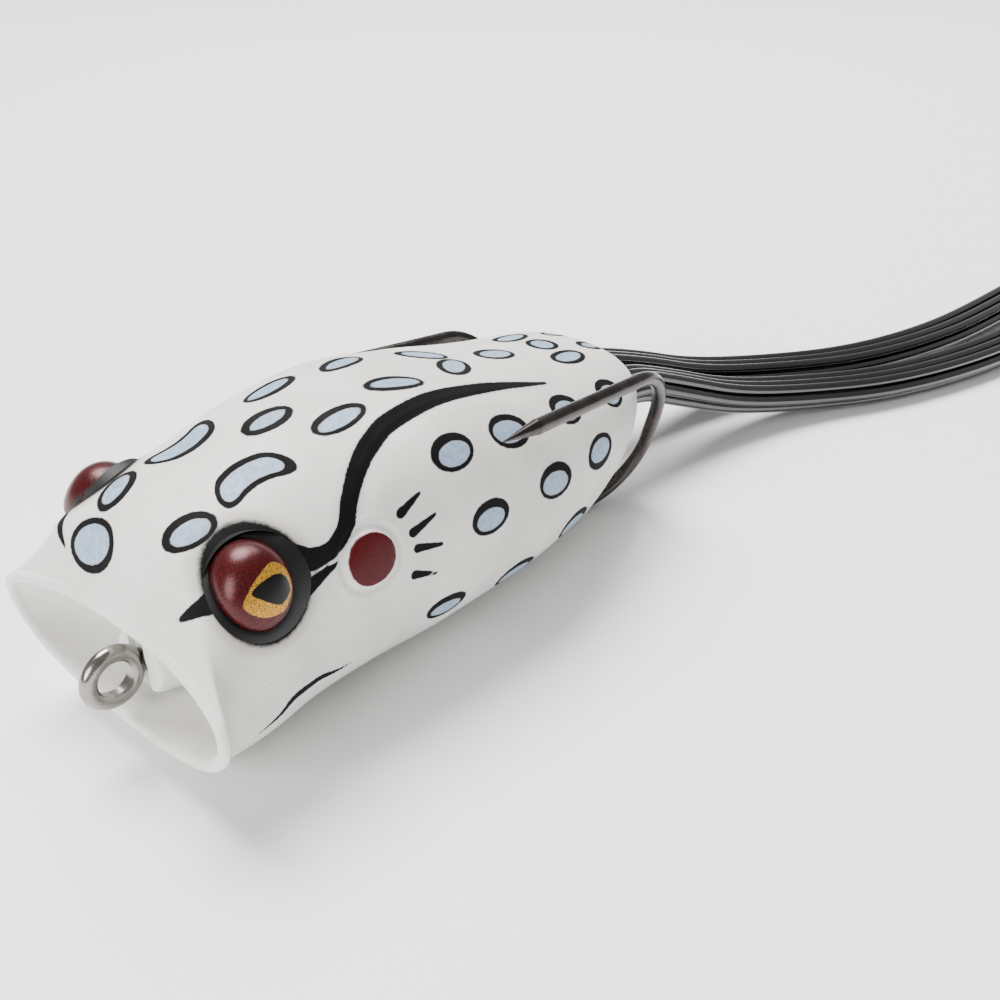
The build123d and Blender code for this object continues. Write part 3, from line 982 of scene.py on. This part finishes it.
def strand_material():
    """Glossy black rubber."""
    shader = Shader("strand_rubber", Coat_Weight=0.7, Coat_Roughness=0.12, Specular_IOR_Level=0.6)
    cloud = shader.noise(2.0, 3.0)
    black = shader.mix(cloud, colour(3, 3, 4), colour(8, 8, 9))
    shader.put(black, shader.surface.inputs["Base Color"])
    shader.put(shader.ramp(cloud, 0.3, 0.7, 0.16, 0.26), shader.surface.inputs["Roughness"])
    shader.bump(shader.noise(2.5, 2.0), 0.12, 0.05)
    return shader.material


def frame_materials():
    """Finishes for the CAD nodes that stay in view."""
    steel = metal_material(
        "stainless_wire", (colour(118, 114, 110), colour(166, 162, 157)), (0.18, 0.3), 0.05, 1.2
    )
    nickel = metal_material(
        "black_nickel", (colour(58, 54, 54), colour(86, 82, 80)), (0.2, 0.3), 0.04, 1.6
    )
    cast = metal_material(
        "cast_keel", (colour(120, 120, 122), colour(160, 160, 160)), (0.45, 0.65), 0.5, 0.5
    )
    rubber = strand_material()
    finishes = {
        "line_tie": steel,
        "hook_left": nickel,
        "hook_right": nickel,
        "keel_weight": cast,
        "leg_collar_left": rubber,
        "leg_collar_right": rubber,
    }
    for node, finish in finishes.items():
        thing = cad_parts[node]
        thing.data.materials.clear()
        thing.data.materials.append(finish)
        thing.data.shade_smooth()


# ---- stage ----
def floor():
    """Plain pale ground that runs past the view."""
    reach = 6000.0
    corners = [(-reach, -reach, 0), (reach, -reach, 0), (reach, reach, 0), (-reach, reach, 0)]
    mesh = bpy.data.meshes.new("studio_floor")
    mesh.from_pydata([tuple(value * MM for value in corner) for corner in corners], [], [(0, 1, 2, 3)])
    thing = bpy.data.objects.new("studio_floor", mesh)
    bpy.context.scene.collection.objects.link(thing)
    shader = Shader("studio_floor", Roughness=0.9)
    shader.surface.inputs["Base Color"].default_value = (0.97, 0.97, 0.97, 1.0)
    mesh.materials.append(shader.material)


def soft_light(name, place, aim, size, power):
    """Round area light of this many watts, aimed at a point."""
    lamp = bpy.data.lights.new(name, "AREA")
    lamp.shape = "DISK"
    lamp.size = size * MM
    lamp.energy = power
    thing = bpy.data.objects.new(name, lamp)
    thing.location = Vector(place) * MM
    heading = Vector(aim) - Vector(place)
    thing.rotation_euler = heading.to_track_quat("-Z", "Y").to_euler()
    bpy.context.scene.collection.objects.link(thing)


def studio():
    """Floor, pale surroundings, soft light from above and two fill lights."""
    floor()
    world = bpy.data.worlds.new("studio")
    bpy.context.scene.world = world
    world.use_nodes = True
    backdrop = world.node_tree.nodes["Background"]
    backdrop.inputs["Color"].default_value = (1.0, 1.0, 1.0, 1.0)
    backdrop.inputs["Strength"].default_value = 0.45
    sun = bpy.data.lights.new("skylight", "SUN")
    sun.energy = 6.2
    sun.angle = math.radians(35)
    overhead = bpy.data.objects.new("skylight", sun)
    overhead.rotation_euler = Vector((-0.15, -0.5, -1.0)).to_track_quat("-Z", "Y").to_euler()
    bpy.context.scene.collection.objects.link(overhead)
    soft_light("back", (260, 200, 420), (50, 0, 5), 300, 1.5)
    soft_light("front", (-220, -20, 110), (-30, 0, 8), 140, 0.5)


def camera():
    lens = bpy.data.cameras.new("photo_view")
    lens.lens = CAMERA_LENS
    lens.clip_start = 0.001
    thing = bpy.data.objects.new("photo_view", lens)
    thing.location = Vector(CAMERA_PLACE) * MM
    thing.rotation_euler = Vector(CAMERA_LOOK).to_track_quat("-Z", "Y").to_euler()
    bpy.context.scene.collection.objects.link(thing)
    bpy.context.scene.camera = thing


camera()
skirt()
body()
eye(1, "eye_right")
eye(-1, "eye_left")
frame_materials()
studio()
